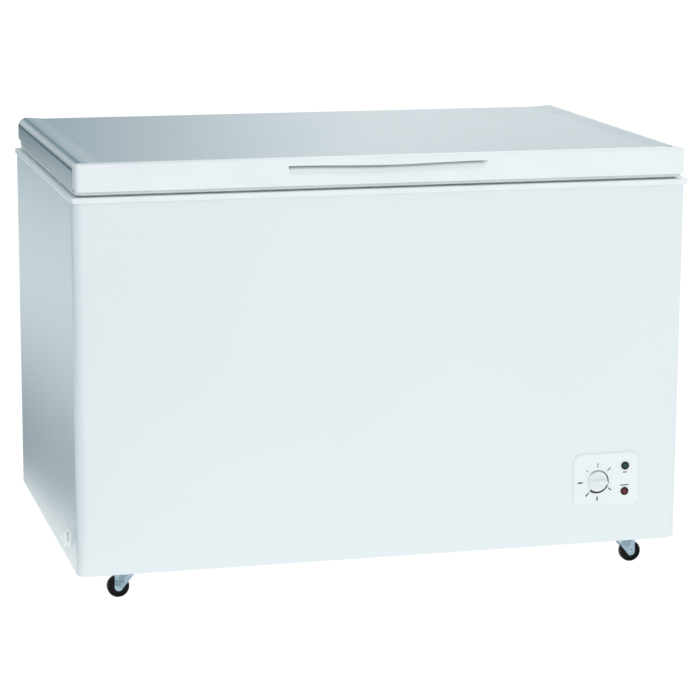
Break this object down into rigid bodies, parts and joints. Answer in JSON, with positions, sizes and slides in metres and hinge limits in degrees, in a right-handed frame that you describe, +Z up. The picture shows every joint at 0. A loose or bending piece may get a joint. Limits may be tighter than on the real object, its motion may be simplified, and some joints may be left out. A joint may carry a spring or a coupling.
{
  "type": "chest freezer",
  "caption": "Insulated chest freezer with a top-opening spring-balanced lid, side compressor compartment, control knob and swivel casters.",
  "frame": {"origin": "on the floor, under the middle of the whole freezer's bounding box", "axes": "+X along the width to the right as seen from the front, where the control panel and the machine compartment are; +Y towards the back, where the lid hinges are; +Z up"},
  "size_m": [1.2425, 0.8116, 0.8525],
  "materials": {
    "enamel": "white baked enamel on sheet steel, gloss",
    "grey_enamel": "light grey enamelled lid sheet, gloss",
    "white_plastic": "white moulded plastic, satin gloss",
    "liner": "white coated steel tub",
    "lid_liner": "vacuum-formed white plastic sheet",
    "foam": null,
    "zinc": "bright zinc-plated pressed steel",
    "steel": "plain steel",
    "wire": "white coated wire",
    "aluminium": "drawn tube",
    "copper": "drawn copper tube, slightly tarnished",
    "compressor_black": null,
    "black_plastic": "black moulded plastic",
    "black_rubber": "black rubber",
    "grey_rubber": "pale soft magnetic gasket",
    "caster_tread": "black moulded caster wheel, satin",
    "green_lens": "translucent green lens in a dark bezel",
    "red_lens": "translucent red lens in a dark bezel"
  },
  "bodies": {
    "cabinet": {"cabinet_wrap": "enamel", "back_panel": "enamel", "base_pan": "zinc", "top_collar": "white_plastic", "inner_liner": "liner", "cabinet_foam": "foam", "compartment_wall": "zinc", "evaporator_coil": "aluminium", "condenser_coil": "copper", "compressor": "compressor_black", "compressor_tray": "zinc", "compressor_grommets": "black_rubber", "compressor_bolts": "zinc", "start_relay": "black_plastic", "filter_drier": "copper", "refrigerant_pipes": "copper", "side_grille": "white_plastic", "rear_cover": "zinc", "cord_gland": "black_rubber", "thermostat": "zinc", "thermostat_bulb": "copper", "control_panel": "white_plastic", "green_lamp": "green_lens", "red_lamp": "red_lens", "drain_spout": "white_plastic", "hinge_bracket_left": "zinc", "hinge_bracket_right": "zinc", "hinge_pins": "steel", "hinge_spring_left": "steel", "hinge_spring_right": "steel", "cabinet_screws": "zinc", "caster_plates": "zinc", "caster_screws": "zinc"},
    "lid": {"lid_skin": "grey_enamel", "lid_front_trim": "white_plastic", "lid_liner": "lid_liner", "lid_foam": "foam", "lid_gasket": "grey_rubber", "hinge_leaf_left": "zinc", "hinge_leaf_right": "zinc", "lid_screws": "zinc"},
    "knob": {"knob": "white_plastic", "thermostat_spindle": "steel"},
    "plunger_left": {"hinge_plunger_left": "black_plastic"},
    "plunger_right": {"hinge_plunger_right": "black_plastic"},
    "basket": {"basket": "wire"},
    "drain_cap": {"drain_cap": "white_plastic"},
    "drain_plug": {"drain_plug": "black_rubber"},
    "swivel_fl": {"caster_fork_fl": "zinc", "caster_axle_fl": "zinc"},
    "wheel_fl": {"caster_wheel_fl": "caster_tread"},
    "swivel_fr": {"caster_fork_fr": "zinc", "caster_axle_fr": "zinc"},
    "wheel_fr": {"caster_wheel_fr": "caster_tread"},
    "swivel_rl": {"caster_fork_rl": "zinc", "caster_axle_rl": "zinc"},
    "wheel_rl": {"caster_wheel_rl": "caster_tread"},
    "swivel_rr": {"caster_fork_rr": "zinc", "caster_axle_rr": "zinc"},
    "wheel_rr": {"caster_wheel_rr": "caster_tread"}
  },
  "joints": [
    {"name": "lid_hinge", "type": "hinge", "parent": "cabinet", "child": "lid", "pos_m": [0, 0.39875, 0.805], "axis": [-1, 0, 0], "range_deg": [0, 80], "stiffness_Nm_per_rad": 27, "springref_deg": 90.01},
    {"name": "plunger_left_lift", "type": "slide", "parent": "cabinet", "child": "plunger_left", "axis": [0, 0, 1], "range_m": [0, 0.0126], "deforming": ["hinge_spring_left"]},
    {"name": "plunger_right_lift", "type": "slide", "parent": "cabinet", "child": "plunger_right", "axis": [0, 0, 1], "range_m": [0, 0.0126], "deforming": ["hinge_spring_right"]},
    {"name": "knob_turn", "type": "hinge", "parent": "cabinet", "child": "knob", "pos_m": [0.4395, -0.39, 0.183], "axis": [0, 1, 0], "range_deg": [0, 310]},
    {"name": "basket_slide", "type": "slide", "parent": "cabinet", "child": "basket", "axis": [-1, 0, 0], "range_m": [0, 0.76]},
    {"name": "drain_cap_pull", "type": "slide", "parent": "cabinet", "child": "drain_cap", "axis": [-1, 0, 0], "range_m": [0, 0.02]},
    {"name": "drain_plug_lift", "type": "slide", "parent": "cabinet", "child": "drain_plug", "axis": [0, 0, 1], "range_m": [0, 0.05]},
    {"name": "swivel_fl_turn", "type": "hinge", "parent": "cabinet", "child": "swivel_fl", "pos_m": [-0.5145, -0.34325, 0.05], "axis": [0, 0, 1], "continuous": true},
    {"name": "wheel_fl_spin", "type": "hinge", "parent": "swivel_fl", "child": "wheel_fl", "pos_m": [-0.5285, -0.34325, 0.0215], "axis": [0, 1, 0], "continuous": true},
    {"name": "swivel_fr_turn", "type": "hinge", "parent": "cabinet", "child": "swivel_fr", "pos_m": [0.5145, -0.34325, 0.05], "axis": [0, 0, 1], "continuous": true},
    {"name": "wheel_fr_spin", "type": "hinge", "parent": "swivel_fr", "child": "wheel_fr", "pos_m": [0.5285, -0.34325, 0.0215], "axis": [0, 1, 0], "continuous": true},
    {"name": "swivel_rl_turn", "type": "hinge", "parent": "cabinet", "child": "swivel_rl", "pos_m": [-0.5145, 0.33275, 0.05], "axis": [0, 0, 1], "continuous": true},
    {"name": "wheel_rl_spin", "type": "hinge", "parent": "swivel_rl", "child": "wheel_rl", "pos_m": [-0.5285, 0.33275, 0.0215], "axis": [0, 1, 0], "continuous": true},
    {"name": "swivel_rr_turn", "type": "hinge", "parent": "cabinet", "child": "swivel_rr", "pos_m": [0.5145, 0.33275, 0.05], "axis": [0, 0, 1], "continuous": true},
    {"name": "wheel_rr_spin", "type": "hinge", "parent": "swivel_rr", "child": "wheel_rr", "pos_m": [0.5285, 0.33275, 0.0215], "axis": [0, 1, 0], "continuous": true}
  ],
  "couplings": [
    {"joint": "plunger_left_lift", "follows": "lid_hinge", "m_per_rad": 0.009},
    {"joint": "plunger_right_lift", "follows": "lid_hinge", "m_per_rad": 0.009}
  ]
}
